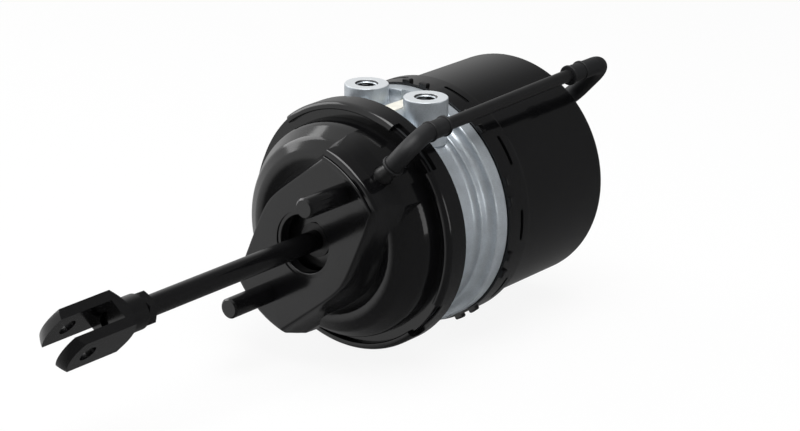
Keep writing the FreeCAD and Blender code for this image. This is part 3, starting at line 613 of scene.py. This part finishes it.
class BRAKE_OT_stage(bpy.types.Operator):
    """Sets the floor, the lamps and the photograph's camera"""
    bl_idname = "brake.stage"
    bl_label = "Stage"

    def execute(self, context):
        stage = context.scene.brake_stage
        make_floor(stage.floor)
        make_world(stage.world)
        for name, (place, width, setting) in LAMPS.items():
            make_lamp(name, place, width, getattr(stage, setting))
        make_camera()
        context.scene.view_settings.view_transform = "Standard"
        return {"FINISHED"}


def make_floor(base):
    """Wide pale floor under the part. The camera sees it nearly white, with the part's soft shade on it."""
    middle = Vector((0, (CAD_BOX[0][1] + CAD_BOX[1][1]) / 2, CAD_BOX[0][2] - FLOOR_GAP))
    corners = [middle + FLOOR_REACH * Vector((x, y, 0)) for x, y in ((-1, -1), (1, -1), (1, 1), (-1, 1))]
    mesh = bpy.data.meshes.new("floor")
    mesh.from_pydata(corners, [], [(0, 1, 2, 3)])
    floor = new_object("floor", mesh)
    material = bpy.data.materials.new("Pale studio floor")
    material.use_nodes = True
    tree = material.node_tree
    tree.nodes.clear()
    matt = add(tree, "ShaderNodeBsdfDiffuse", {"Color": (*base, 1)})
    white = add(tree, "ShaderNodeEmission", {"Color": (1, 1, 1, 1), "Strength": 1.0})
    path = add(tree, "ShaderNodeLightPath")
    seen = add(tree, "ShaderNodeMath", {0: path.outputs["Is Camera Ray"], 1: path.outputs["Is Glossy Ray"]},
               operation="ADD", use_clamp=True)
    share = add(tree, "ShaderNodeMath", {0: seen.outputs["Value"], 1: FLOOR_WHITE}, operation="MULTIPLY")
    mixed = add(tree, "ShaderNodeMixShader", {"Fac": share.outputs["Value"], 1: matt.outputs["BSDF"],
                                              2: white.outputs["Emission"]})
    add(tree, "ShaderNodeOutputMaterial", {"Surface": mixed.outputs["Shader"]})
    mesh.materials.append(material)
    # The light of the world comes from below too, and gloss sees the world's walls there
    floor.visible_shadow = False
    floor.visible_glossy = False


def make_world(strength):
    """Even soft light. The camera sees it as white, and gloss sees the bright and the dim wall."""
    world = bpy.data.worlds.new("Studio")
    bpy.context.scene.world = world
    world.use_nodes = True
    tree = world.node_tree
    tree.nodes.clear()
    path = add(tree, "ShaderNodeLightPath").outputs
    way = add(tree, "ShaderNodeTexCoord").outputs["Generated"]
    facing = add(tree, "ShaderNodeVectorMath", {0: way, 1: BRIGHT_SIDE}, operation="DOT_PRODUCT")
    wall = add(tree, "ShaderNodeMapRange", {"Value": facing.outputs["Value"], "From Min": WALL_FADE[0],
                                            "From Max": WALL_FADE[1], "To Min": DARK_WALL,
                                            "To Max": BRIGHT_WALL}, interpolation_type="SMOOTHSTEP")
    mirrored = add(tree, "ShaderNodeMapRange", {"Value": path["Is Glossy Ray"], "To Min": strength,
                                                "To Max": wall.outputs["Result"]})
    level = add(tree, "ShaderNodeMapRange", {"Value": path["Is Camera Ray"],
                                             "To Min": mirrored.outputs["Result"], "To Max": 1.0})
    back = add(tree, "ShaderNodeBackground", {"Color": (1, 1, 1, 1), "Strength": level.outputs["Result"]})
    add(tree, "ShaderNodeOutputWorld", {"Surface": back.outputs["Background"]})


def make_lamp(name, place, width, power):
    """Square soft lamp that faces the middle of the chamber."""
    data = bpy.data.lights.new(name, "AREA")
    data.size = width
    data.energy = power
    light = new_object(name, data)
    light.location = place
    aim = Vector(LAMP_AIM) - Vector(place)
    light.rotation_euler = aim.to_track_quat("-Z", "Y").to_euler()


def make_camera():
    data = bpy.data.cameras.new("camera")
    data.lens = CAMERA_LENS
    data.sensor_width = CAMERA_SENSOR
    data.clip_start = 0.05
    data.clip_end = 50.0
    camera = new_object("camera", data)
    look = Vector(CAMERA_AIM).to_track_quat("-Z", "Y").to_matrix().to_4x4()
    lean = Matrix.Rotation(math.radians(CAMERA_LEAN), 4, "Z")
    camera.matrix_world = Matrix.Translation(CAMERA_PLACE) @ look @ lean
    bpy.context.scene.camera = camera


# Add-on

GROUPS = {"brake_steel": SteelSettings, "brake_casting": CastingSettings, "brake_line": LineSettings,
          "brake_springs": SpringSettings, "brake_stage": StageSettings}
OPERATORS = (BRAKE_OT_pressed_steel, BRAKE_OT_forged_steel, BRAKE_OT_castings, BRAKE_OT_port_threads,
             BRAKE_OT_air_line, BRAKE_OT_springs, BRAKE_OT_stage)


class BRAKE_PT_finish(bpy.types.Panel):
    """Lists the steps in order, and then the settings"""
    bl_idname = "BRAKE_PT_finish"
    bl_label = "Brake chamber"
    bl_space_type = "VIEW_3D"
    bl_region_type = "UI"
    bl_category = "Brake chamber"

    def draw(self, context):
        for operator in OPERATORS:
            self.layout.operator(operator.bl_idname)
        for name, group in GROUPS.items():
            box = self.layout.box()
            box.label(text=group.__doc__)
            for setting in group.__annotations__:
                box.prop(getattr(context.scene, name), setting)


def register():
    for name, group in GROUPS.items():
        bpy.utils.register_class(group)
        setattr(bpy.types.Scene, name, bpy.props.PointerProperty(type=group))
    for operator in OPERATORS:
        bpy.utils.register_class(operator)
    bpy.utils.register_class(BRAKE_PT_finish)


def unregister():
    bpy.utils.unregister_class(BRAKE_PT_finish)
    for operator in reversed(OPERATORS):
        bpy.utils.unregister_class(operator)
    for name, group in GROUPS.items():
        delattr(bpy.types.Scene, name)
        bpy.utils.unregister_class(group)


def main():
    register()
    bpy.ops.brake.pressed_steel()
    bpy.ops.brake.forged_steel()
    bpy.ops.brake.castings()
    bpy.ops.brake.port_threads()
    bpy.ops.brake.air_line()
    bpy.ops.brake.springs()
    bpy.ops.brake.stage()


if __name__ == "__main__":
    main()
